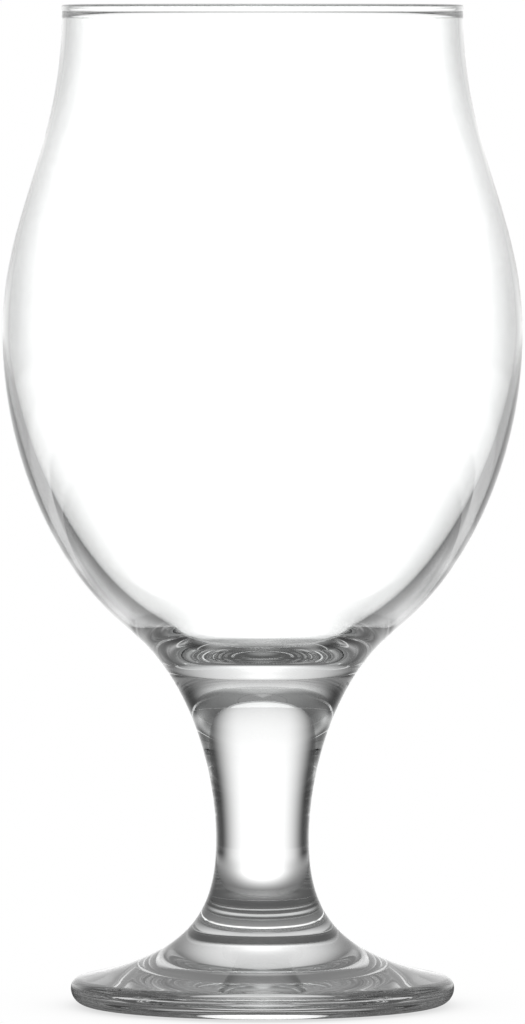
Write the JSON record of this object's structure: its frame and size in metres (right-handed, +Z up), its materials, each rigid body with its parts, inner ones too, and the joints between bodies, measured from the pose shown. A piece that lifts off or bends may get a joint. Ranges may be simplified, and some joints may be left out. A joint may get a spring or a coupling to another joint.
{
  "type": "chalice beer glass",
  "caption": "Stemmed chalice beer glass: a tulip bowl with a beaded lip on a short solid stem with a drawn-in waist, flaring into a disc foot with a rounded edge.",
  "frame": {"origin": "centre of the resting ring under the foot, on the plane the glass stands on", "axes": "+Z up along the axis of the glass, from the foot to the lip; the glass is turned about it, so X and Y are free"},
  "size_m": [0.0962, 0.0962, 0.185],
  "materials": {
    "clear_glass": "clear soda-lime glass, smooth and fire-polished, with faint waves and seeds"
  },
  "bodies": {
    "root": {"bowl": "clear_glass", "stem": "clear_glass", "foot": "clear_glass"}
  },
  "joints": []
}
